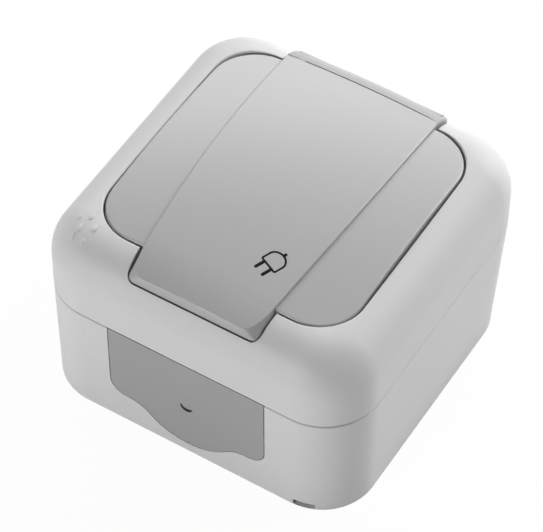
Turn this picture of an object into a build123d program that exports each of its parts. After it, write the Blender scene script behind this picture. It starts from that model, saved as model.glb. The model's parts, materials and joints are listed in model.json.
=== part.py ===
from build123d import *
import os
from math import asin, cos, degrees, hypot, radians, sin, sqrt

# Surface-mount weatherproof wall socket, lying on its back. Millimetres, +Z out through the lid.
# The origin is the middle of the back face, -Y is the cable entry side and +Y the hinge side.

# Housing
width = 74.0
depth = 74.0
corner_r = 12.5
parting_z = 28.75
cover_top_z = 46.3
shoulder_r = 9.8
wall = 2.4
floor_t = 2.4
side_draft = 0.4
back_draft = 3.0
shadow_groove = 0.6
shadow_gap = 0.5
shadow_round = 0.35
pry_notch_x = 27.3
pry_notch_w = 4.5
pry_notch_h = 1.45
pry_notch_z = 0.2
pry_notch_deep = 1.8
tuck_r = 5.0

# Seal between the box and the cover
seal_w = 1.1
seal_h = 1.2

# Lid opening and the tray under the lid
opening_w = 58.2
opening_d = 57.6
opening_r = 10.0
opening_y = 0.8
rim_r = 0.3
tray_z = 42.6
tray_t = 2.0

# Lid
lid_gap = 0.4
lid_back_gap = 0.5
lid_t = 2.0
lid_apex_z = 48.85
crown_r = 230.0
lid_edge_r = 0.4
band_rise = 0.55
band_edge_r = 0.3
band_hinge_half = 17.9
band_bow_half = 17.2
band_front_half = 14.2
lip_y = -34.3
lip_top_z = 45.8
lip_bottom_z = 43.1
lip_t = 2.3
lip_corner_r = 6.0
lip_foot_half = 14.8
lip_foot_r = 1.6
flare_low_z = 44.0
flare_top_z = 46.4
lip_roll_y = -26.0
lip_gap = 0.35
lip_front_gap = 0.3

# Hinge
hinge_y = 32.2
hinge_z = 42.6
barrel_r = 3.2
barrel_inset = 1.1
skin_t = 1.8
hinge_reach = 5.0
hinge_side_gap = 0.5
trough_t = 1.6
roll_start_y = 30.65
roll_mid = (34.0, 45.55)
roll_end = (36.3, 42.4)
roll_corner_r = 2.4
roll_groove_r = 0.2
skin_low_z = 40.6
swing_clear = 0.25
pin_r = 1.1
pin_running_gap = 0.05
pin_grip = 3.2
pin_fit = 0.02
spring_wire = 0.6
spring_bore_r = 1.4
spring_turns = 6
spring_room = 9.0
spring_gap = 0.3

# Plug well, for a two-pole plug with side earth contacts
well_r = 19.6
well_wall = 2.0
well_depth = 17.5
well_floor_t = 2.2
flange_r = 24.5
flange_t = 1.6
flange_edge_r = 0.5
well_fit = 0.4
guide_w = 5.0
guide_in = 1.6
guide_below_rim = 2.5
pin_pitch = 19.0
pin_hole_r = 2.9
funnel = 0.8
earth_slot_w = 7.0
earth_slot_top = 41.0
earth_slot_in = 2.2

# Lid seal, a ring that presses on the rim of the well
ring_mid_r = 22.4
ring_w = 2.6
ring_gap = 0.3
ring_groove = 0.6
ring_fit = 0.05
ring_boss_w = 5.0
ring_boss_z = 45.4

# Contact carrier and the metal in it
carrier_w = 38.0
carrier_d = 37.0
carrier_corner = 4.0
carrier_z = 4.5
contact_t = 0.7
contact_w = 6.0
contact_low_z = 8.0
contact_top_z = 22.8
contact_pinch = 4.4
contact_mouth = 6.4
pocket_w = 9.0
pocket_d = 8.0
terminal_wall = 1.5
terminal_w = 6.6
terminal_d = 7.0
terminal_h = 8.0
terminal_edge_r = 1.0
terminal_room = 0.3
wire_hole_r = 1.7
wire_up = 3.0
strap_t = 0.8
strap_w = 6.0
strap_play = 0.1
clip_y = 20.4
clip_knee_z = 30.0
clip_touch_y = 18.2
clip_touch_z = 35.5
clip_tip_z = 39.5

# Screws: shank and head radii, head heights
screw_r = 1.5
screw_head_r = 2.9
screw_head_h = 1.6
screw_slot_w = 0.9
screw_slot_deep = 0.7
screw_play = 0.3
thread_play = 0.03
cover_screw_x = 23.5
cover_screw_y = 22.4
cover_screw_deep = 9.0
post_r = 4.0
carrier_screw_x = 12.6
carrier_screw_y = 12.6
carrier_screw_seat = 4.0
carrier_screw_skin = 1.0
screw_end = 0.5
well_screw_deep = 9.0
clamp_screw_l = 5.0

# Wall fixing slots
fixing_pitch = 56.0
fixing_w = 4.4
fixing_l = 8.0
fixing_pad = 1.6
fixing_pad_h = 0.8

# Cable entry
entry_half = 18.2
entry_shoulder_z = 8.3
entry_corner_r = 3.8
entry_bulge_z = 15.4
entry_bulge_r = 12.8
entry_blend_r = 7.0
entry_fit = 0.2
entry_top_gap = 0.3
entry_flange = 1.4
entry_cup_r = 9.0
entry_skin = 1.2
pierce_z = 15.0
pierce_r = 1.5
pierce_deep = 0.22
pierce_tilt = 6.3

# Worked out from the sizes above
well_rim_z = tray_z + flange_t
well_floor_z = well_rim_z - well_depth
carrier_top_z = well_floor_z - well_floor_t
strap_top_z = carrier_top_z - strap_play
cup_r = well_r + well_wall
terminal_y = terminal_d / 2 + terminal_room + terminal_wall - carrier_d / 2
band_apex_z = lid_apex_z + band_rise
opening_back_y = opening_y + opening_d / 2
pin_half = band_hinge_half + hinge_side_gap + pin_grip

# A cut runs past the face that it opens, and pieces that join overlap by a little
past = 1.0
tiny = 0.02


def box_outline(inset, z):
    """Outline of the box at height z, inset by a wall: the walls draft in towards the floor."""
    share = 1 - z / parting_z
    inset = inset + side_draft * share
    back = back_draft * share
    outline = RectangleRounded(width - 2 * inset, depth - 2 * inset - back, corner_r - inset)
    return Pos(0, -back / 2, z) * outline


def box_hull(inset, low_z, high_z):
    """Drafted block between two heights, inset from the outer walls."""
    return loft([box_outline(inset, low_z), box_outline(inset, high_z)])


def slab(outline, low_z, high_z):
    """Plan outline raised between two heights."""
    return extrude(Pos(0, 0, low_z) * outline, high_z - low_z)


def rod(radius, x, y, low_z, high_z):
    """Upright round bar or hole."""
    return Pos(x, y, (low_z + high_z) / 2) * Cylinder(radius, high_z - low_z)


def rod_x(radius, half):
    """Round bar along the hinge axis, as long on both sides of the middle."""
    return Pos(0, hinge_y, hinge_z) * Rot(0, 90, 0) * Cylinder(radius, 2 * half)


def ring(outer_r, inner_r, low_z, high_z):
    """Flat ring round the middle of the well."""
    return rod(outer_r, 0, 0, low_z, high_z) - rod(inner_r, 0, 0, low_z - past, high_z + past)


def block(x_size, y_size, x, y, low_z, high_z):
    """Upright block, centred on x and y."""
    return Pos(x, y, (low_z + high_z) / 2) * Box(x_size, y_size, high_z - low_z)


def side_profile(face, x_from, x_to):
    """Face drawn as (y, z), raised along X between two places."""
    return Pos(x_from, 0, 0) * extrude(Plane.YZ * face, x_to - x_from)


def entry_outline(margin):
    """Outline of the cable entry, drawn as (x, z): a plate with a round belly below its shoulders."""
    plate_h = parting_z - entry_shoulder_z
    plate = Pos(0, entry_shoulder_z + plate_h / 2) * Rectangle(2 * entry_half, plate_h)
    belly = Pos(0, entry_bulge_z) * Circle(entry_bulge_r)
    outline = plate + belly
    low = outline.vertices().filter_by_position(Axis.Y, entry_shoulder_z - tiny, entry_shoulder_z + tiny)
    by_side = low.sort_by(lambda v: abs(v.X))
    outline = fillet(by_side[:2], entry_blend_r)
    low = outline.vertices().filter_by_position(Axis.Y, entry_shoulder_z - tiny, entry_shoulder_z + tiny)
    by_side = low.sort_by(lambda v: abs(v.X))
    outline = fillet(by_side[-2:], entry_corner_r)
    if margin:
        outline = offset(outline, margin)
    return outline


def entry_prism(margin):
    """Cable entry outline, carried through the front wall."""
    return extrude(Plane.XZ * entry_outline(margin), depth)


def cover_screw_places():
    """Two opposite corners under the lid."""
    return [(cover_screw_x, -cover_screw_y), (-cover_screw_x, cover_screw_y)]


def carrier_screw_places():
    """Two places behind the contacts."""
    return [(carrier_screw_x, carrier_screw_y), (-carrier_screw_x, carrier_screw_y)]


def carrier_rest_places():
    """Four bosses that the carrier stands on: under its two screws and, at the front, without a screw."""
    return carrier_screw_places() + [(x, -y) for x, y in carrier_screw_places()]


def seal_ring(low_z, high_z, play):
    """Soft ring that runs round inside the rim of the box."""
    outer = RectangleRounded(*ring_plan(wall - seal_w + play))
    inner = RectangleRounded(*ring_plan(wall))
    return slab(outer, low_z, high_z) - slab(inner, low_z - past, high_z + past)


def ring_plan(inset):
    """Width, depth and corner radius of the housing's plan, inset from its wall."""
    return width - 2 * inset, depth - 2 * inset, corner_r - inset


def dome_z(y, apex_z):
    """Height of a crowned top above y, on the middle line."""
    return apex_z - (y - opening_y) ** 2 / (2 * crown_r)


def crowned(face, apex_z):
    """Face drawn as (y, z) on the middle line, turned about a deep axis so that it is crowned across X."""
    turn = 2 * degrees(asin(width / 2 / crown_r))
    axis = Axis((0, 0, apex_z - crown_r), (0, 1, 0))
    turned = revolve(Plane.YZ * face, axis, turn)
    return turned.rotate(axis, -turn / 2)


def dome_slab(low_z, front_y, back_y, top_offset):
    """Crowned block under the lid's dome, from a flat underside to the dome moved down by an offset."""
    front = (front_y, dome_z(front_y, lid_apex_z) - top_offset)
    middle = (opening_y, lid_apex_z - top_offset)
    back = (back_y, dome_z(back_y, lid_apex_z) - top_offset)
    rest = Polyline(back, (back_y, low_z), (front_y, low_z), front)
    return crowned(make_face(Curve() + [ThreePointArc(front, middle, back), rest]), lid_apex_z)


def back_box():
    """Drafted box with fixing slots, screw posts, a rim for the seal and the opening for the cable entry."""
    box = box_hull(0, 0, parting_z - shadow_gap)
    box = fillet(box.faces().sort_by(Axis.Z)[-1].edges(), shadow_round)
    box += slab(RectangleRounded(*ring_plan(shadow_groove)), parting_z - shadow_gap - tiny, parting_z)
    box -= box_hull(wall, floor_t, parting_z)
    for x, y in cover_screw_places():
        box += rod(post_r, x, y, floor_t - tiny, parting_z)
    for x, y in carrier_rest_places():
        box += rod(post_r, x, y, floor_t - tiny, carrier_z)
    for side in (-1, 1):
        pad = SlotOverall(fixing_l + 2 * fixing_pad, fixing_w + 2 * fixing_pad)
        box += Pos(side * fixing_pitch / 2, 0, 0) * slab(pad, floor_t - tiny, floor_t + fixing_pad_h)
        slot = SlotOverall(fixing_l, fixing_w)
        box -= Pos(side * fixing_pitch / 2, 0, 0) * slab(slot, -past, floor_t + fixing_pad_h + past)
    for x, y in cover_screw_places():
        box -= rod(screw_r + thread_play, x, y, parting_z - cover_screw_deep, parting_z + past)
    for x, y in carrier_screw_places():
        box -= rod(screw_r + thread_play, x, y, carrier_screw_skin, carrier_z + past)
    box -= seal_ring(parting_z - seal_h, parting_z + past, 0)
    box -= entry_prism(entry_fit)
    notch_y = -depth / 2 + side_draft
    return box - block(pry_notch_w, 2 * pry_notch_deep, pry_notch_x, notch_y, pry_notch_z, pry_notch_z + pry_notch_h)


def cable_grommet():
    """Soft plate that fills the opening, flush outside, with a flange inside and a thin skin to pierce."""
    plate = entry_prism(0) & (box_hull(0, 0, parting_z) - box_hull(wall, 0, parting_z))
    inside = box_hull(wall, 0, parting_z) - box_hull(wall + entry_flange, 0, parting_z)
    flange = entry_prism(entry_flange) & inside & slab(Rectangle(width, depth), floor_t, parting_z - seal_h)
    grommet = plate + flange
    front_y = -depth / 2 + side_draft * (1 - entry_bulge_z / parting_z)
    cup = Pos(0, front_y + entry_skin, entry_bulge_z) * Rot(90, 0, 0) * Cylinder(
        entry_cup_r, depth / 2, align=(Align.CENTER, Align.CENTER, Align.MAX))
    grommet -= cup
    grommet -= seal_ring(parting_z - seal_h, parting_z + past, 0)
    grommet -= slab(Rectangle(width, depth), parting_z - entry_top_gap, parting_z + past)
    dimple = Cylinder(pierce_r, 2 * pierce_deep)
    grommet -= Pos(0, front_y, pierce_z) * Rot(90, 0, 0) * Rot(pierce_tilt, pierce_tilt, 0) * dimple
    return grommet


def swing_room():
    """Room about the hinge that the panels keep out of, so that their back edge clears the rim as it swings."""
    rise = cover_top_z - hinge_z
    flat = opening_w / 2 - opening_r
    rim = []
    for turn in range(0, 90, 15):
        x = flat + opening_r * sin(radians(turn))
        rim_y = opening_back_y - opening_r * (1 - cos(radians(turn)))
        rim.append((x, hypot(hinge_y - rim_y, rise) + swing_clear))
    mirrored = [(-x, r) for x, r in reversed(rim)]
    ends = Polyline(rim[-1], (rim[-1][0], 0), (mirrored[0][0], 0), mirrored[0])
    outline = Curve() + [Spline(*mirrored), Line(mirrored[-1], rim[0]), Spline(*rim), ends]
    return Pos(0, hinge_y, hinge_z) * revolve(make_face(outline), Axis.X)


def hinge_notch():
    """Room for the hinge end of the lid: a round trough about the pin, open above and behind."""
    half = band_hinge_half + hinge_side_gap
    front_y = hinge_y - hinge_reach
    back_y = hinge_y + depth / 2
    open_part = block(2 * half, back_y - front_y, 0, (front_y + back_y) / 2, hinge_z, cover_top_z + past)
    return rod_x(hinge_reach, half) + open_part


def band_plan(front_half, corner, side_margin, front_margin):
    """Plan outline of the raised band: bowed sides that taper to the finger lip, and round corners."""
    half = band_hinge_half + side_margin
    bow = band_bow_half + side_margin
    front = front_half + side_margin
    front_y = lip_y - front_margin
    right = ThreePointArc((half, roll_start_y), (bow, opening_y), (front, front_y))
    left = ThreePointArc((-front, front_y), (-bow, opening_y), (-half, roll_start_y))
    front_edge = Line((front, front_y), (-front, front_y))
    back_y = roll_end[0]
    back_edge = Polyline((-half, roll_start_y), (-half, back_y), (half, back_y), (half, roll_start_y))
    outline = make_face(Curve() + [right, front_edge, left, back_edge])
    outline = fillet(outline.vertices().sort_by(Axis.Y)[-2:], roll_corner_r)
    return fillet(outline.vertices().sort_by(Axis.Y)[:2], corner + side_margin)


def band_hull():
    """Upright block with the band's outline: it flares from the round lip to a squarer foot, level below."""
    foot = band_plan(lip_foot_half, lip_foot_r, 0, 0)
    top = band_plan(band_front_half, lip_corner_r, 0, 0)
    flare = loft([Pos(0, 0, flare_low_z) * foot, Pos(0, 0, flare_top_z) * top])
    hull = slab(foot, 0, flare_low_z) + flare + slab(top, flare_top_z, cover_top_z + crown_r)
    return hull - block(width, depth, 0, -depth / 2, -past, lip_bottom_z)


def front_cover():
    """Rounded cover with the lid's opening and tray, the lip notch, the hinge notch and the pin holes."""
    cover = slab(RectangleRounded(width, depth, corner_r), parting_z, cover_top_z)
    cover = fillet(cover.faces().sort_by(Axis.Z)[-1].edges(), shoulder_r)
    outside = cover
    inside = slab(RectangleRounded(*ring_plan(wall)), parting_z, tray_z - tray_t)
    inside = fillet(inside.faces().sort_by(Axis.Z)[-1].edges(), tuck_r)
    cover -= inside
    for x, y in cover_screw_places():
        cover += rod(post_r, x, y, parting_z, tray_z - tray_t + tiny)
    cover += rod_x(hinge_reach + trough_t, pin_half + trough_t) & outside
    opening = RectangleRounded(opening_w, opening_d, opening_r)
    cover -= Pos(0, opening_y) * slab(opening, tray_z, cover_top_z + past)
    rim = [e for e in cover.edges() if e.center().Z > tray_z + 1 and on_opening(e)]
    cover = fillet(rim, rim_r)
    notch = band_plan(lip_foot_half, lip_foot_r, lip_gap, lip_front_gap)
    cover -= slab(notch, tray_z, cover_top_z + past) & block(width, depth, 0, -depth / 2, 0, 2 * cover_top_z)
    cover -= hinge_notch()
    cover -= rod_x(pin_r + pin_fit, pin_half + pin_fit)
    cover -= rod(cup_r + well_fit, 0, 0, tray_z - tray_t - past, tray_z + past)
    for x, y in cover_screw_places():
        cover -= rod(screw_r + screw_play, x, y, parting_z - past, tray_z + past)
        cover -= rod(screw_head_r + screw_play, x, y, tray_z - screw_head_h, tray_z + past)
    return cover


def on_opening(edge):
    """True for an edge whose middle lies on the wall of the lid's opening."""
    p = edge.position_at(0.5)
    x = abs(p.X)
    y = abs(p.Y - opening_y)
    flat_x = opening_w / 2 - opening_r
    flat_y = opening_d / 2 - opening_r
    if x > flat_x and y > flat_y:
        return abs(hypot(x - flat_x, y - flat_y) - opening_r) < tiny
    return abs(x - opening_w / 2) < tiny or abs(y - opening_d / 2) < tiny


def band_side():
    """Side view of the band as (y, z): the finger lip, the dome and the roll over the hinge."""
    roll_z = dome_z(lip_roll_y, band_apex_z)
    slope = (opening_y - lip_roll_y) / crown_r
    run = lip_roll_y - lip_y
    sink = roll_z - slope * run - lip_top_z
    lip_mid = (lip_roll_y - run / 2, roll_z - slope * run / 2 - sink / 4)
    lip_top = (lip_y, lip_top_z)
    lip_end = (lip_roll_y, roll_z)
    dome_end = (roll_start_y, dome_z(roll_start_y, band_apex_z))
    apex = (opening_y, band_apex_z)
    lip_foot = (lip_y, lip_bottom_z - past)
    under_front = (lip_y + lip_t, lip_mid[1] - lid_t)
    under_roll = (lip_roll_y, roll_z - lid_t)
    under_apex = (opening_y, band_apex_z - lid_t)
    under_back = (roll_start_y, dome_end[1] - lid_t)
    back = roll_end[0] - dome_end[0]
    fall = dome_end[1] - roll_end[1]
    inward = skin_t / hypot(back, fall)
    skin_mid = (roll_mid[0] - fall * inward, roll_mid[1] - back * inward)
    skin_end = (roll_end[0] - skin_t, roll_end[1])
    edges = [
        Line(lip_foot, lip_top),
        ThreePointArc(lip_top, lip_mid, lip_end),
        ThreePointArc(lip_end, apex, dome_end),
        ThreePointArc(dome_end, roll_mid, roll_end),
        Polyline(roll_end, (roll_end[0], skin_low_z), (skin_end[0], skin_low_z), skin_end),
        ThreePointArc(skin_end, skin_mid, under_back),
        ThreePointArc(under_back, under_apex, under_roll),
        Line(under_roll, under_front),
        Polyline(under_front, (lip_y + lip_t, lip_foot[1]), lip_foot),
    ]
    return make_face(Curve() + edges)


def lid():
    """Domed lid in one piece: two side panels, the raised band with its lip, hinge barrel and seal groove."""
    front_y = opening_y - opening_d / 2 + lid_gap
    back_y = opening_back_y - lid_back_gap
    panel_d = back_y - front_y
    panel = RectangleRounded(opening_w - 2 * lid_gap, panel_d, opening_r - lid_gap)
    panel = Pos(0, (front_y + back_y) / 2) * slab(panel, tray_z, cover_top_z + crown_r)
    plate = dome_slab(tray_z, front_y - past, back_y + past, 0) & panel
    plate = fillet(plate.faces().sort_by(Axis.Z)[-1].edges(), lid_edge_r)
    plate -= dome_slab(0, front_y - past, back_y + past, lid_t)
    plate -= swing_room()
    band = crowned(band_side(), band_apex_z) & band_hull()
    facing_up = 0.65
    upward = [f for f in band.faces() if f.normal_at().Z > facing_up]
    border = ShapeList(e for f in upward for e in f.edges())
    seams = [e for e in border if sum(e.is_same(other) for other in border) > 1]
    band = fillet([e for e in border if not any(e.is_same(seam) for seam in seams)], band_edge_r)
    groove = Pos(roll_start_y, dome_z(roll_start_y, band_apex_z)) * Circle(roll_groove_r)
    band -= crowned(groove.face(), band_apex_z)
    shell = plate + band
    boss = ring(ring_mid_r + ring_boss_w / 2, ring_mid_r - ring_boss_w / 2, ring_boss_z, lid_apex_z)
    shell += boss & dome_slab(0, front_y - past, back_y + past, lid_t / 2)
    groove_r = ring_mid_r + ring_w / 2 + ring_fit
    shell -= ring(groove_r, ring_mid_r - ring_w / 2 - ring_fit, ring_boss_z - past, ring_boss_z + ring_groove)
    shell += rod_x(barrel_r, band_hinge_half - barrel_inset)
    shell -= rod_x(pin_r + pin_running_gap, width)
    spring_r = spring_bore_r + spring_wire + spring_gap
    shell -= rod_x(spring_r, spring_room / 2)
    shell -= block(spring_room, 2 * barrel_r + past, 0, hinge_y, hinge_z - hinge_reach, hinge_z) & rod_x(
        barrel_r + tiny, spring_room)
    return shell


def hinge_pin():
    """Steel pin gripped by the cover on both sides of the notch."""
    return rod_x(pin_r, pin_half)


def lid_spring():
    """Torsion spring round the pin: one leg on the cover's trough, the other under the lid's roll."""
    coil_r = spring_bore_r + spring_wire / 2
    height = spring_room - 2 * spring_wire - 2 * spring_gap
    helix = Helix(height / spring_turns, height, coil_r)
    cover_leg = sqrt(hinge_reach ** 2 - (coil_r + spring_wire / 2) ** 2) - spring_gap
    lid_leg = sqrt(barrel_r ** 2 - (coil_r + spring_wire / 2) ** 2) - spring_gap
    first = Line(helix @ 0 - (helix % 0) * cover_leg, helix @ 0)
    last = Line(helix @ 1, helix @ 1 + (helix % 1) * lid_leg)
    wire = Wire([first.edge(), helix.edge(), last.edge()])
    coil = sweep(Plane(origin=wire @ 0, z_dir=wire % 0) * Circle(spring_wire / 2), wire)
    return Plane((-height / 2, hinge_y, hinge_z), x_dir=(0, 0, -1), z_dir=(1, 0, 0)) * coil


def lid_gasket():
    """Soft ring in the groove of the lid, just clear of the well's rim."""
    low_z = well_rim_z + ring_gap
    return ring(ring_mid_r + ring_w / 2, ring_mid_r - ring_w / 2, low_z, ring_boss_z + ring_groove)


def cover_gasket():
    """Soft ring between the box and the cover."""
    return seal_ring(parting_z - seal_h, parting_z, ring_fit)


def socket_well():
    """Round well for the plug, with a flange, two guide ribs, pin holes and slots for the earth springs."""
    well = rod(cup_r, 0, 0, carrier_top_z, well_rim_z) + rod(flange_r, 0, 0, tray_z, well_rim_z)
    well = fillet(well.faces().sort_by(Axis.Z)[-1].edges(), flange_edge_r)
    well -= rod(well_r, 0, 0, well_floor_z, well_rim_z + past)
    for side in (-1, 1):
        guide_top = well_rim_z - guide_below_rim
        guide = block(2 * guide_in, guide_w, side * well_r, 0, well_floor_z - tiny, guide_top)
        well += guide & rod(cup_r, 0, 0, carrier_top_z, well_rim_z)
        x = side * pin_pitch / 2
        well -= rod(pin_hole_r, x, 0, carrier_top_z - past, well_floor_z + past)
        well -= Pos(x, 0, well_floor_z - funnel / 2) * Cone(pin_hole_r, pin_hole_r + funnel, funnel)
        slot_in = well_r - earth_slot_in
        well -= block(earth_slot_w, cup_r - slot_in + past, 0, side * (slot_in + cup_r + past) / 2,
                      carrier_top_z - past, earth_slot_top)
    well -= rod(screw_r + screw_play, 0, 0, carrier_top_z - past, well_floor_z + past)
    well -= rod(screw_head_r + screw_play, 0, 0, well_floor_z - well_floor_t / 2, well_floor_z + past)
    return well


def contact_carrier():
    """Insulating block with pockets for the contacts and clamps and a channel for the earth strap."""
    plan = RectangleRounded(carrier_w, carrier_d, carrier_corner)
    carrier = slab(plan, carrier_z, carrier_top_z)
    channel_w = strap_w + 2 * terminal_room
    carrier -= block(channel_w, carrier_d + past, 0, 0, strap_top_z - strap_t, carrier_top_z + past)
    pocket_back = terminal_y - terminal_d / 2 - terminal_room
    for side in (-1, 1):
        x = side * pin_pitch / 2
        carrier -= block(pocket_w, pocket_d, x, 0, contact_low_z, carrier_top_z + past)
        carrier -= block(terminal_w + 2 * terminal_room, -pocket_back, x, pocket_back / 2, contact_low_z,
                         carrier_top_z + past)
        carrier -= Pos(x, -carrier_d / 2, contact_low_z + contact_t + wire_up) * Rot(90, 0, 0) * Cylinder(
            wire_hole_r + terminal_room, carrier_d / 2)
    earth_low = strap_top_z - strap_t - terminal_h
    carrier -= block(terminal_w + 2 * terminal_room, terminal_d + 2 * terminal_room, 0, terminal_y, earth_low,
                     carrier_top_z + past)
    carrier -= Pos(0, -carrier_d / 2, earth_low + wire_up) * Rot(90, 0, 0) * Cylinder(
        wire_hole_r + terminal_room, carrier_d / 2)
    carrier -= rod(screw_r + thread_play, 0, 0, carrier_top_z - well_screw_deep, carrier_top_z + past)
    for x, y in carrier_screw_places():
        seat = carrier_z + carrier_screw_seat
        carrier -= rod(screw_r + screw_play, x, y, carrier_z - past, seat + past)
        carrier -= rod(screw_head_r + screw_play, x, y, seat, carrier_top_z + past)
    return carrier


def pin_contact(side):
    """Brass tulip: two sprung leaves on a foot, and a tail that runs to the clamp at the front."""
    waist_z = (contact_low_z + contact_top_z) / 2
    half_foot = contact_mouth / 2 + contact_t / 2
    half_waist = contact_pinch / 2 + contact_t / 2
    foot_z = contact_low_z + contact_t / 2
    leaf = [(half_foot, foot_z), (half_waist, waist_z), (half_foot, contact_top_z)]
    line = Polyline((-leaf[2][0], leaf[2][1]), (-leaf[1][0], leaf[1][1]), (-leaf[0][0], leaf[0][1]), *leaf)
    section = Plane.XZ * trace(line, contact_t)
    tulip = Pos(0, contact_w / 2, 0) * extrude(section, contact_w)
    tail_back = terminal_y - terminal_d / 2
    tail = block(contact_w, -tail_back, 0, tail_back / 2, contact_low_z, contact_low_z + contact_t)
    return Pos(side * pin_pitch / 2, 0, 0) * (tulip + tail)


def earth_strap():
    """Brass strap under the well, bent up at both ends into springs that touch the plug's sides."""
    strap_z = strap_top_z - strap_t / 2
    half = [(clip_y, strap_z), (clip_y, clip_knee_z), (clip_touch_y, clip_touch_z), (clip_y, clip_tip_z)]
    line = Polyline(*[(-y, z) for y, z in reversed(half)], *half)
    strap = side_profile(trace(line, strap_t), -strap_w / 2, strap_w / 2)
    strap -= rod(screw_r + screw_play, 0, 0, strap_z - past, strap_z + past)
    strap -= rod(screw_r + screw_play, 0, terminal_y, strap_z - past, strap_z + past)
    return strap


def terminal_places():
    """Foot of each clamp: line, neutral and, under the strap, earth."""
    low = contact_low_z + contact_t
    return [(pin_pitch / 2, low), (-pin_pitch / 2, low), (0, strap_top_z - strap_t - terminal_h)]


def terminal(index):
    """Brass clamp block with a hole for the wire and a tapped hole for its screw."""
    x, low = terminal_places()[index]
    clamp = block(terminal_w, terminal_d, x, terminal_y, low, low + terminal_h)
    clamp = fillet(clamp.edges().filter_by(Axis.Z), terminal_edge_r)
    clamp -= Pos(x, terminal_y, low + wire_up) * Rot(90, 0, 0) * Cylinder(wire_hole_r, 2 * terminal_d)
    clamp -= rod(screw_r + thread_play, x, terminal_y, low + wire_up, low + terminal_h + past)
    return clamp


def slotted_screw(x, y, seat_z, length, head_r, head_h):
    """Cheese-head screw that points down, with a driver slot."""
    screw = rod(screw_r, x, y, seat_z - length, seat_z)
    screw += rod(head_r, x, y, seat_z, seat_z + head_h)
    top = seat_z + head_h
    return screw - block(2 * head_r + past, screw_slot_w, x, y, top - screw_slot_deep, top + past)


def cover_screws():
    """Two screws under the lid, through the cover into the posts of the box."""
    seat_z = tray_z - screw_head_h
    length = seat_z - (parting_z - cover_screw_deep) - screw_end
    places = cover_screw_places()
    return [slotted_screw(x, y, seat_z, length, screw_head_r, screw_head_h) for x, y in places]


def carrier_screws():
    """Two screws that hold the carrier on the bosses of the box."""
    seat_z = carrier_z + carrier_screw_seat
    length = seat_z - carrier_screw_skin - screw_end
    places = carrier_screw_places()
    return [slotted_screw(x, y, seat_z, length, screw_head_r, screw_head_h) for x, y in places]


def well_screw():
    """Screw in the middle of the well, its head flush with the well's floor."""
    head_h = well_floor_t / 2
    seat_z = well_floor_z - head_h
    length = seat_z - (carrier_top_z - well_screw_deep) - screw_end
    return slotted_screw(0, 0, seat_z, length, screw_head_r, head_h)


def terminal_screws():
    """Three headless clamp screws, each level with the top of the earth strap or as far above its clamp."""
    half = clamp_screw_l / 2
    tops = [(x, low + terminal_h + strap_t) for x, low in terminal_places()]
    return [slotted_screw(x, terminal_y, top - half, half, screw_r, half) for x, top in tops]


def write(name, *solids):
    """One STEP file for a node; a group of like pieces is several solids in one file."""
    shape = solids[0] if len(solids) == 1 else Compound(children=list(solids))
    export_step(shape, os.path.join("parts", name + ".step"))


os.makedirs("parts", exist_ok=True)
write("back_box", back_box())
write("front_cover", front_cover())
write("lid", lid())
write("hinge_pin", hinge_pin())
write("lid_spring", lid_spring())
write("lid_gasket", lid_gasket())
write("cover_gasket", cover_gasket())
write("cable_grommet", cable_grommet())
write("socket_well", socket_well())
write("well_screw", well_screw())
write("contact_carrier", contact_carrier())
write("line_contact", pin_contact(1))
write("neutral_contact", pin_contact(-1))
write("earth_strap", earth_strap())
write("line_terminal", terminal(0))
write("neutral_terminal", terminal(1))
write("earth_terminal", terminal(2))
write("terminal_screws", *terminal_screws())
write("carrier_screws", *carrier_screws())
write("cover_screws", *cover_screws())
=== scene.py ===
import json
import math

import bmesh
import bpy
import numpy as np
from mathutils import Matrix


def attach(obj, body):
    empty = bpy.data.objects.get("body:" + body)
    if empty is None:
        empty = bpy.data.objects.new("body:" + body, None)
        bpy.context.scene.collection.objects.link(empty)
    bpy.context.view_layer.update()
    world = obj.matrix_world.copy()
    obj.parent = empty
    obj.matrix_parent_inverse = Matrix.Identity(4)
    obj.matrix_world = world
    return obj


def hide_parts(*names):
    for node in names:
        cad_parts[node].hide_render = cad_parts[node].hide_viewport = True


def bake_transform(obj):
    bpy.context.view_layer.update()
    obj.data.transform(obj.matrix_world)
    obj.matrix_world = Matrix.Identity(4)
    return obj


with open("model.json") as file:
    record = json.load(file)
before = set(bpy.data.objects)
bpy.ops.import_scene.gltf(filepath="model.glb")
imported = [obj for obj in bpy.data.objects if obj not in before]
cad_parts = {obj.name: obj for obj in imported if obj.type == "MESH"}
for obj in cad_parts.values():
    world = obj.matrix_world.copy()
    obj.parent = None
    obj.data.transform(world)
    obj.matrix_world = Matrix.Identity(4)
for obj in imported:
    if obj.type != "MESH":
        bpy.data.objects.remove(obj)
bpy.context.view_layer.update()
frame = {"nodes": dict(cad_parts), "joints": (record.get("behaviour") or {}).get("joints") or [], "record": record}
nodes = frame["nodes"]

# The viewpoint: the box lies on its back and is seen from above its front right corner, through a
# long lens from about two thirds of a metre. The angles and the lens come from the box's outline.
mm = 0.001
view_azimuth = math.radians(31.288)
view_elevation = math.radians(50.841)
view_roll = math.radians(0.471)
view_distance = 646.503 * mm
view_offset = (-2.184 * mm, 13.433 * mm)
focal_pixels = 3074.555
image_width = 543
sensor_width_mm = 36.0
nearest_seen = 50.0 * mm

away = np.array([
    math.sin(view_azimuth) * math.cos(view_elevation),
    -math.cos(view_azimuth) * math.cos(view_elevation),
    math.sin(view_elevation),
])
level_right = np.array([math.cos(view_azimuth), math.sin(view_azimuth), 0.0])
level_up = np.cross(away, level_right)
camera_right = math.cos(view_roll) * level_right + math.sin(view_roll) * level_up
camera_up = math.cos(view_roll) * level_up - math.sin(view_roll) * level_right
camera_matrix = np.eye(4)
camera_matrix[:3, :3] = np.stack([camera_right, camera_up, away], axis=1)
camera_matrix[:3, 3] = camera_matrix[:3, :3] @ np.array([*view_offset, view_distance])

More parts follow.
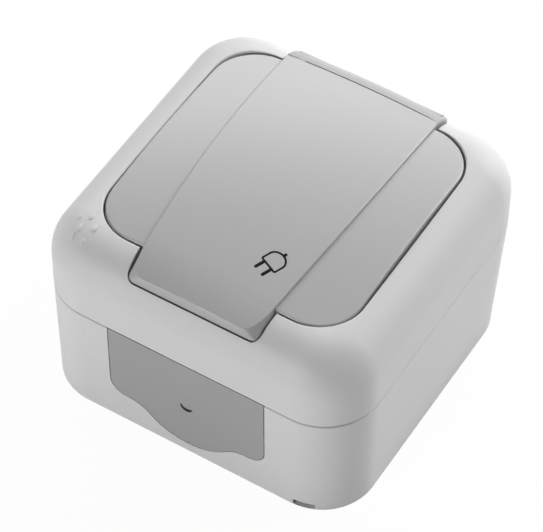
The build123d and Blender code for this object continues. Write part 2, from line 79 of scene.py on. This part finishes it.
camera = bpy.data.objects.new("camera", bpy.data.cameras.new("camera"))
camera.data.sensor_fit = "HORIZONTAL"
camera.data.sensor_width = sensor_width_mm
camera.data.lens = focal_pixels * sensor_width_mm / image_width
camera.data.clip_start = nearest_seen
camera.matrix_world = camera_matrix.T.tolist()
bpy.context.scene.collection.objects.link(camera)
bpy.context.scene.camera = camera

# Box and cover: the light grey housing, moulded in two pieces from one plastic. The mould is spark
# eroded, so the skin is satin with a very fine grain, and the flow of the plastic hardly shows.
housing_grey = (0.588, 0.588, 0.588)
housing_rough = 0.52
housing_gloss = 0.3
housing_grain_mm = 0.22
housing_grain_deep_mm = 0.004


class Value:
    """A number, colour or vector in a material's node tree. Arithmetic on it adds Math nodes."""

    def __init__(self, tree, socket=None):
        self.tree = tree
        self.socket = socket

    def node(self, kind, settings, inputs, output=0):
        """Adds a node: its settings first, then the values or links of its sockets."""
        made = self.tree.nodes.new(kind)
        for name, setting in settings.items():
            setattr(made, name, setting)
        for name, value in inputs.items():
            if isinstance(value, Value):
                self.tree.links.new(value.socket, made.inputs[name])
            else:
                made.inputs[name].default_value = value
        return Value(self.tree, made.outputs[output] if made.outputs else None)

    def math(self, operation, first, second):
        return self.node("ShaderNodeMath", {"operation": operation}, {0: first, 1: second})

    def __add__(self, other):
        return self.math("ADD", self, other)

    def __radd__(self, other):
        return self.math("ADD", other, self)

    def __mul__(self, other):
        return self.math("MULTIPLY", self, other)

    def __rmul__(self, other):
        return self.math("MULTIPLY", other, self)


def blank_material(name):
    """An empty node tree: returns the material and a Value that adds nodes to it."""
    material = bpy.data.materials.new(name)
    material.use_nodes = True
    material.node_tree.nodes.clear()
    return material, Value(material.node_tree)


def noise(place, size_mm, detail):
    """Random clouds about size_mm wide, from 0 to 1."""
    return place.node("ShaderNodeTexNoise", {}, {
        "Vector": place, "Scale": 1 / (size_mm * mm), "Detail": detail})


def shade_of(colour, share):
    """A colour made lighter or darker by a share, as a socket takes it."""
    return tuple(channel * share for channel in colour) + (1.0,)


def mixed(share, first, second):
    """Two colours mixed by a share. The Mix node keeps its colour sockets after those of other kinds."""
    share_in, first_in, second_in, colour_out = 0, 6, 7, 2
    return share.node("ShaderNodeMix", {"data_type": "RGBA"}, {
        share_in: share, first_in: first, second_in: second}, colour_out)


def surface(tint, rough, height, deep_mm, constants):
    """Ends a material: its colour, its roughness, a relief as deep as deep_mm, and inputs that don't vary."""
    relief = height.node("ShaderNodeBump", {}, {
        "Strength": 1.0, "Distance": deep_mm * mm, "Height": height})
    skin = relief.node("ShaderNodeBsdfPrincipled", {}, {
        "Base Color": tint, "Roughness": rough, "Normal": relief, **constants})
    skin.node("ShaderNodeOutputMaterial", {}, {"Surface": skin})


def moulded(name, colour, rough, grain_mm, grain_deep_mm, gloss=0.5, painted_shade=None):
    """Moulded plastic or rubber: broad flow clouds in the colour, and a fine grain in gloss and height.
    An optional function of the place gives a share of painted shade, which darkens the colour."""
    flow_mm = 18.0
    flow_share = 0.015
    flow_detail = 2.0
    grain_detail = 3.0
    rough_spread = 0.10
    # how dark the painted shade makes the colour, as a share of it
    painted_shade_level = 0.12
    material, start = blank_material(name)
    place = start.node("ShaderNodeTexCoord", {}, {}, "Object")
    flow = noise(place, flow_mm, flow_detail)
    grain = noise(place, grain_mm, grain_detail)
    tint = mixed(
        0.5 * flow + 0.5 * grain, shade_of(colour, 1 - 2 * flow_share), shade_of(colour, 1 + 2 * flow_share))
    if painted_shade:
        # painted shade: the colour is darkened towards a dark grey by the share the function gives
        tint = mixed(painted_shade(place), tint, shade_of(colour, painted_shade_level))
    uneven = (rough - rough_spread / 2) + rough_spread * grain
    surface(tint, uneven, grain, grain_deep_mm, {"Specular IOR Level": gloss})
    return material


def dress(names, material):
    """Gives nodes of the frame their finish."""
    for name in names:
        for slot in nodes[name].material_slots:
            slot.material = material


housing_plastic = moulded(
    "housing_plastic", housing_grey, housing_rough, housing_grain_mm, housing_grain_deep_mm, housing_gloss)
dress(["back_box", "front_cover"], housing_plastic)

# Weather mark: a few small raindrops raised on the front left shoulder of the cover, moulded in one
# with it in the same plastic. The drops hang tip up when the box is on the wall.
cover_half = 37.0
cover_corner_r = 12.5
cover_top_z = 46.3
shoulder_r = 9.8
drop_places = [
    (-30.3, -27.0), (-28.0, -26.4), (-28.9, -29.5), (-25.8, -28.6), (-29.4, -31.4), (-26.6, -31.9)]
drop_length = 2.0
drop_half_w = 0.68
drop_rise = 0.34
drop_end_share = 0.01
drop_swell = 1.9
drop_taper = 0.9
drop_rows = 20
drop_sides = 20


def cover_height(x, y):
    """Height of the cover's outside: the top, and the round shoulder by the distance in from the wall."""
    flat = cover_half - cover_corner_r
    over_x = np.abs(x) - flat
    over_y = np.abs(y) - flat
    corner = np.hypot(np.maximum(over_x, 0), np.maximum(over_y, 0))
    inward = cover_corner_r - corner - np.minimum(np.maximum(over_x, over_y), 0)
    short = np.clip(shoulder_r - inward, 0, shoulder_r)
    return cover_top_z - shoulder_r + np.sqrt(shoulder_r ** 2 - short ** 2)


def grid_mesh(name, points, close_across=False, close_along=False, caps=False):
    """A mesh on a grid of points (along, across, xyz) in millimetres. Each point is joined to the next one
    along and across; rows or columns may close on themselves, and caps fill the two ends."""
    along, across = points.shape[:2]
    index = np.arange(along * across).reshape(along, across)
    if close_across:
        index = np.concatenate([index, index[:, :1]], axis=1)
    if close_along:
        index = np.concatenate([index, index[:1]], axis=0)
    corners = [index[:-1, :-1], index[:-1, 1:], index[1:, 1:], index[1:, :-1]]
    faces = np.stack(corners, axis=-1).reshape(-1, 4).tolist()
    if caps:
        faces += [index[0, :across][::-1].tolist(), index[-1, :across].tolist()]
    mesh = bpy.data.meshes.new(name)
    mesh.from_pydata((points.reshape(-1, 3) * mm).tolist(), [], faces)
    mesh.shade_smooth()
    return mesh


def joined(name, meshes, material):
    """One object from several meshes, with one finish."""
    build = bmesh.new()
    for mesh in meshes:
        build.from_mesh(mesh)
        bpy.data.meshes.remove(mesh)
    bmesh.ops.recalc_face_normals(build, faces=build.faces)
    whole = bpy.data.meshes.new(name)
    build.to_mesh(whole)
    build.free()
    whole.materials.append(material)
    piece = bpy.data.objects.new(name, whole)
    bpy.context.scene.collection.objects.link(piece)
    return piece


def raindrop(place):
    """A drop: along its length u its half width grows from the tip as u to the power of the taper and
    closes as a round end, the root of 1 - u. Each cross-section is an ellipse, half sunk in the plane that
    touches the shoulder there."""
    u = np.linspace(drop_end_share, 1 - drop_end_share, drop_rows)[:, None, None]
    turn = np.linspace(0, 2 * np.pi, drop_sides, endpoint=False)[None, :, None]
    swell = drop_swell * u ** drop_taper * np.sqrt(1 - u)
    x, y = place
    near = 0.01
    slope_x = (cover_height(x + near, y) - cover_height(x - near, y)) / (2 * near)
    slope_y = (cover_height(x, y + near) - cover_height(x, y - near)) / (2 * near)
    out = np.array([-slope_x, -slope_y, 1.0])
    out /= np.linalg.norm(out)
    up = np.array([0.0, 1.0, slope_y])
    up /= np.linalg.norm(up)
    side = np.cross(up, out)
    middle = np.array([x, y, cover_height(x, y)])
    points = middle + drop_length * (0.5 - u) * up
    points = points + drop_half_w * swell * np.cos(turn) * side + drop_rise * swell * np.sin(turn) * out
    return grid_mesh("drop", points, close_across=True, caps=True)


raindrops = joined("raindrops", [raindrop(place) for place in drop_places], housing_plastic)
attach(raindrops, "housing")

# Cable entry: a soft plate of darker rubber in the front wall, with a thin skin that the cable is
# pushed through. It is matt, with a coarser grain than the plastic. Painted shade darkens a crescent along
# the lower left wall of the small dimple that marks where to pierce it, as if that side lay in shadow.
entry_grey = (0.317, 0.317, 0.317)
entry_rough = 0.72
entry_grain_mm = 0.42
entry_grain_deep_mm = 0.018
entry_mount = next(mount for mount in frame["record"]["mounts"] if mount["name"] == "cable_entry")
entry_x, entry_y, entry_z = entry_mount["pos_m"]
dimple_r = 1.5 * mm
dimple_reach = 1.7 * mm
shade_width = 0.4 * mm
shade_soft = 0.1 * mm
shade_high = 0.05 * mm
shade_low = 0.6 * mm


def dimple_painted_shade(place):
    """Share of painted shade: a crescent between the dimple's wall and a circle of the same size that is
    shifted to the upper right, from just under the plate's face down to the dimple's floor."""
    inward = place.node("ShaderNodeSeparateXYZ", {}, {"Vector": place}, "Y")
    under_face = place.math("GREATER_THAN", inward, entry_y + shade_high)
    over_floor = place.math("LESS_THAN", inward, entry_y + shade_low)
    from_middle = place.node("ShaderNodeVectorMath", {"operation": "DISTANCE"}, {
        0: place, 1: (entry_x, entry_y, entry_z)}, "Value")
    from_shifted = place.node("ShaderNodeVectorMath", {"operation": "DISTANCE"}, {
        0: place, 1: (entry_x + shade_width, entry_y, entry_z + shade_width)}, "Value")
    crescent = place.node("ShaderNodeMapRange", {}, {
        "Value": from_shifted, "From Min": dimple_r, "From Max": dimple_r + shade_soft})
    return crescent * under_face * over_floor * place.math("LESS_THAN", from_middle, dimple_reach)


# the rubber's colour has painted shade in the pierce dimple, a dark crescent standing in for shadow
dress(["cable_grommet"], moulded(
    "entry_rubber", entry_grey, entry_rough, entry_grain_mm, entry_grain_deep_mm, painted_shade=dimple_painted_shade))

# Contact carrier: the insulating block under the well that holds the contacts and the clamps. It is moulded
# from off-white heat-proof plastic, stands on bosses in the box and is held there by two screws.
carrier_white = (0.70, 0.69, 0.66)
carrier_rough = 0.55
carrier_grain_mm = 0.5
carrier_grain_deep_mm = 0.006
dress(["contact_carrier"], moulded(
    "carrier_plastic", carrier_white, carrier_rough, carrier_grain_mm, carrier_grain_deep_mm))

# Contacts, earth strap and clamps: the sprung tulips for the pins, the strap with the side earth springs and
# the cage clamps. They are stamped and cut from brass, with the drawn grain left in the metal.
brass_colour = (0.72, 0.52, 0.24)
brass_rough = 0.30
brass_draw = (1.0, 0.12, 1.0)
brass_names = [
    "line_contact", "neutral_contact", "earth_strap", "line_terminal", "neutral_terminal", "earth_terminal"]


def drawn_metal(name, colour, rough, draw):
    """Bare metal: colour clouds from handling, and a grain that is stretched along the way it was drawn."""
    cloud_mm = 4.0
    cloud_detail = 4.0
    grain_mm = 0.15
    grain_detail = 2.0
    grain_deep_mm = 0.003
    dull_share = 0.88
    bright_share = 1.08
    rough_spread = 0.18
    material, start = blank_material(name)
    place = start.node("ShaderNodeTexCoord", {}, {}, "Object")
    stretched = start.node("ShaderNodeMapping", {}, {"Vector": place, "Scale": draw})
    cloud = noise(place, cloud_mm, cloud_detail)
    grain = noise(stretched, grain_mm, grain_detail)
    tint = mixed(cloud, shade_of(colour, dull_share), shade_of(colour, bright_share))
    uneven = (rough - rough_spread / 2) + rough_spread * cloud
    surface(tint, uneven, grain, grain_deep_mm, {"Metallic": 1.0})
    return material


dress(brass_names, drawn_metal("brass", brass_colour, brass_rough, brass_draw))

# Screws and hinge pin: zinc-plated steel. The screws are headed from wire, so their grain runs along the
# shank. The pin is cut from drawn wire and held in the cover at both ends.
zinc_colour = (0.62, 0.63, 0.64)
screw_rough = 0.34
screw_draw = (1.0, 1.0, 0.3)
wire_rough = 0.28
wire_draw = (0.1, 1.0, 1.0)
dress(["well_screw", "terminal_screws", "carrier_screws", "cover_screws"],
      drawn_metal("zinc_screw", zinc_colour, screw_rough, screw_draw))
zinc_wire = drawn_metal("zinc_wire", zinc_colour, wire_rough, wire_draw)
dress(["hinge_pin"], zinc_wire)

# Lid spring: a torsion coil of the same wire, wound round the pin. One leg lies in the cover's trough and
# the other under the lid's roll, so the coil twists when the lid is lifted.
hinge_x, hinge_y, hinge_z = np.array(frame["joints"][0]["pos_m"]) / mm
spring_wire_r = 0.3
spring_coil_r = 1.7
spring_length = 7.2
spring_turns = 6
cover_leg = 4.28
lid_leg = 2.2
turn_steps = 40
leg_steps = 8
wire_sides = 14


def spring_mesh():
    """A circle carried along the wire: a straight leg, a helix round the hinge line and a second leg. The
    legs run on in the helix's own direction, and the circle's first axis points away from the hinge line."""
    turn = np.linspace(0, 2 * np.pi * spring_turns, turn_steps * spring_turns + 1)
    level = np.zeros_like(turn)
    along = hinge_x + spring_length * (turn / turn[-1] - 0.5)
    out = np.stack([level, np.sin(turn), -np.cos(turn)], axis=1)
    helix = np.stack([along, level + hinge_y, level + hinge_z], axis=1) + spring_coil_r * out
    pitch = level + spring_length / turn[-1]
    ahead = np.stack([pitch, spring_coil_r * np.cos(turn), spring_coil_r * np.sin(turn)], axis=1)
    ahead /= np.linalg.norm(ahead, axis=1, keepdims=True)
    share = np.linspace(0, 1, leg_steps + 1)[1:, None]
    first_leg = helix[0] - cover_leg * share[::-1] * ahead[0]
    second_leg = helix[-1] + lid_leg * share * ahead[-1]
    middle = np.vstack([first_leg, helix, second_leg])
    ends = ((leg_steps, leg_steps), (0, 0))
    out = np.pad(out, ends, mode="edge")
    ahead = np.pad(ahead, ends, mode="edge")
    side = np.cross(ahead, out)
    round_wire = np.linspace(0, 2 * np.pi, wire_sides, endpoint=False)[None, :, None]
    circle = np.cos(round_wire) * out[:, None, :] + np.sin(round_wire) * side[:, None, :]
    return grid_mesh("spring", middle[:, None, :] + spring_wire_r * circle, close_across=True, caps=True)


spring_coil = joined("spring_coil", [spring_mesh()], zinc_wire)
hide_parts("lid_spring")
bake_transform(spring_coil)

# Seals: rings of black soft rubber, each moulded in one piece. One lies between the box and the cover, and
# the other sits in the groove of the lid.
seal_black = (0.030, 0.030, 0.031)
seal_rough = 0.62
seal_grain_mm = 0.3
seal_grain_deep_mm = 0.01
dress(["lid_gasket", "cover_gasket"], moulded(
    "seal_rubber", seal_black, seal_rough, seal_grain_mm, seal_grain_deep_mm))

# Plug well: the round cup that the plug goes into, moulded in the lid's mid grey with a satin skin inside
# and out. One screw in the middle of its floor holds it down.
lid_grey = (0.368, 0.368, 0.368)
lid_rough = 0.38
lid_gloss = 0.8
lid_grain_mm = 0.20
lid_grain_deep_mm = 0.003
dress(["socket_well"], moulded(
    "well_plastic", lid_grey, lid_rough, lid_grain_mm, lid_grain_deep_mm, lid_gloss))

# Lid: the domed flap over the well, moulded from mid grey plastic in one piece with its raised band, its
# finger lip and its hinge barrel. It turns on the hinge pin.
dress(["lid"], moulded(
    "lid_plastic", lid_grey, lid_rough, lid_grain_mm, lid_grain_deep_mm, lid_gloss))

# Plug mark: a small plug in black print on the band near the lip, askew to the lid. The print is a thin
# film with soft edges that follows the dome.
band_apex_z = 49.4
crown_r = 230.0
crown_y = 0.8
mark_place = (8.79, -20.15)
mark_turn = math.radians(-24.0)
mark_body_half = 2.1
mark_body_straight = 1.9
mark_body_rise = 1.75
mark_base_r = 0.3
mark_pin_x = 1.15
mark_pin_end = -2.45
mark_stub_end = 4.5
mark_line = 0.22
mark_bold = 0.36
film_t = 0.03
film_sides = 12
film_square = 0.6
film_tip = 0.02
line_points = 24
dome_points = 40
corner_points = 6
ink_black = (0.006, 0.006, 0.006)
ink_rough = 0.6
ink_grain_mm = 0.2
ink_grain_deep_mm = 0.001
ink_gloss = 0.1


def band_height(x, y):
    """Height of the band: a ball of the crown's radius, whose top is the band's highest point."""
    return band_apex_z - crown_r + np.sqrt(crown_r ** 2 - x ** 2 - (y - crown_y) ** 2)


def printed_line(name, path, half_w, closed):
    """A printed line: a flat, slightly square ellipse carried along a path on the band. The half width of
    an open line falls as a circle at its two ends."""
    step = np.roll(path, -1, axis=0) - np.roll(path, 1, axis=0)
    width = np.full(len(path), half_w)
    if not closed:
        step[0] = path[1] - path[0]
        step[-1] = path[-1] - path[-2]
        run = np.concatenate([[0], np.cumsum(np.hypot(*np.diff(path, axis=0).T))])
        to_end = np.minimum(run, run[-1] - run)
        width = half_w * np.sqrt(np.clip(1 - (1 - np.minimum(to_end / half_w, 1)) ** 2, film_tip, 1))
    step /= np.hypot(*step.T)[:, None]
    side = np.stack([-step[:, 1], step[:, 0]], axis=1)
    turn = np.linspace(0, 2 * np.pi, film_sides, endpoint=False)
    across = np.sign(np.cos(turn)) * np.abs(np.cos(turn)) ** film_square
    plan = path[:, None, :] + side[:, None, :] * (width[:, None] * across[None, :])[..., None]
    turned_x = mark_place[0] + plan[..., 0] * math.cos(mark_turn) - plan[..., 1] * math.sin(mark_turn)
    turned_y = mark_place[1] + plan[..., 0] * math.sin(mark_turn) + plan[..., 1] * math.cos(mark_turn)
    height = band_height(turned_x, turned_y) + film_t * np.sin(turn)[None, :]
    points = np.stack([turned_x, turned_y, height], axis=-1)
    return grid_mesh(name, points, close_across=True, close_along=closed, caps=not closed)


def straight(start, end):
    """Points along a straight line, closer at its two ends."""
    share = 0.5 - 0.5 * np.cos(np.linspace(0, np.pi, line_points))[:, None]
    return np.array(start) * (1 - share) + np.array(end) * share


def plug_outline():
    """Outline of the plug's body: a base with small round corners, straight sides and half an ellipse on
    top."""
    arc = np.linspace(0, np.pi, dome_points)[:, None]
    dome = np.hstack([mark_body_half * np.cos(arc), mark_body_straight + mark_body_rise * np.sin(arc)])
    low = np.linspace(np.pi, 1.5 * np.pi, corner_points)[:, None]
    inner = mark_body_half - mark_base_r
    left = np.hstack([-inner + mark_base_r * np.cos(low), mark_base_r + mark_base_r * np.sin(low)])
    right = left[::-1] * (-1, 1)
    return np.vstack([dome, left, right])


plug_ink = moulded("plug_ink", ink_black, ink_rough, ink_grain_mm, ink_grain_deep_mm, ink_gloss)
mark_top = mark_body_straight + mark_body_rise
plug_lines = [
    printed_line("body", plug_outline(), mark_line, True),
    printed_line("pin_left", straight((-mark_pin_x, 0), (-mark_pin_x, mark_pin_end)), mark_bold, False),
    printed_line("pin_right", straight((mark_pin_x, 0), (mark_pin_x, mark_pin_end)), mark_bold, False),
    printed_line("stub", straight((0, mark_top), (0, mark_stub_end)), mark_bold, False),
]
plug_mark = joined("plug_mark", plug_lines, plug_ink)
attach(plug_mark, "lid")

# Studio: a white floor that runs out of sight, with wide soft lamps behind and above the box and one low in
# front. The floor shows as white but keeps a little of the box's shadow. Each lamp has its place, its width
# and height, and its power in watts.
floor_half = 3000.0
floor_z = -0.1
floor_white = 0.92
floor_white_share = 0.96
lamp_target = np.array([0.0, 0.0, 25.0])
lamp_overhead = 0.99
lamps = {
    "back_left": ((-436.0, 716.0, 545.0), 1100.0, 420.0, 7.3),
    "back_right": ((500.0, 760.0, 560.0), 700.0, 400.0, 9.5),
    "back_high": ((0.0, 650.0, 750.0), 900.0, 500.0, 0.9),
    "top": ((0.0, 0.0, 1000.0), 700.0, 700.0, 1.7),
    "front": ((-300.0, -900.0, 250.0), 500.0, 300.0, 5.75),
}

edge = np.linspace(-floor_half, floor_half, 3)
floor_x, floor_y = np.meshgrid(edge, edge, indexing="ij")
floor_points = np.stack([floor_x, floor_y, np.full_like(floor_x, floor_z)], axis=-1)
floor_material, floor_start = blank_material("floor")
seen = floor_start.node("ShaderNodeLightPath", {}, {}, "Is Camera Ray")
mirrored = floor_start.node("ShaderNodeLightPath", {}, {}, "Is Glossy Ray")
through = floor_start.node("ShaderNodeLightPath", {}, {}, "Is Transmission Ray")
direct = seen.math("MAXIMUM", seen, seen.math("MAXIMUM", mirrored, through))
full_white = shade_of((1.0, 1.0, 1.0), 1.0)
floor_matt = floor_start.node("ShaderNodeBsdfDiffuse", {}, {"Color": shade_of((1.0, 1.0, 1.0), floor_white)})
floor_glow = floor_start.node("ShaderNodeEmission", {}, {"Color": full_white, "Strength": 1.0})
floor_mix = floor_start.node("ShaderNodeMixShader", {}, {
    0: direct * floor_white_share, 1: floor_matt, 2: floor_glow})
floor_start.node("ShaderNodeOutputMaterial", {}, {"Surface": floor_mix})
floor = joined("floor", [grid_mesh("floor", floor_points)], floor_material)

for name, (place, width, height, power) in lamps.items():
    lamp = bpy.data.lights.new(name, "AREA")
    lamp.shape = "RECTANGLE"
    lamp.size = width * mm
    lamp.size_y = height * mm
    lamp.energy = power
    towards = lamp_target - np.array(place)
    back = -towards / np.linalg.norm(towards)
    upright = [0.0, 0.0, 1.0] if abs(back[2]) < lamp_overhead else [0.0, 1.0, 0.0]
    across = np.cross(upright, back)
    across /= np.linalg.norm(across)
    lamp_matrix = np.eye(4)
    lamp_matrix[:3, :3] = np.stack([across, np.cross(back, across), back], axis=1)
    lamp_matrix[:3, 3] = np.array(place) * mm
    holder = bpy.data.objects.new(name, lamp)
    holder.matrix_world = lamp_matrix.T.tolist()
    bpy.context.scene.collection.objects.link(holder)

world = bpy.data.worlds.new("studio")
world.use_nodes = True
world.node_tree.nodes.clear()
sky = Value(world.node_tree)
sky_seen = sky.node("ShaderNodeLightPath", {}, {}, "Is Camera Ray")
sky_glow = sky.node("ShaderNodeBackground", {}, {"Color": full_white, "Strength": sky_seen})
sky.node("ShaderNodeOutputWorld", {}, {"Surface": sky_glow})
bpy.context.scene.world = world
bpy.context.scene.view_settings.view_transform = "Standard"
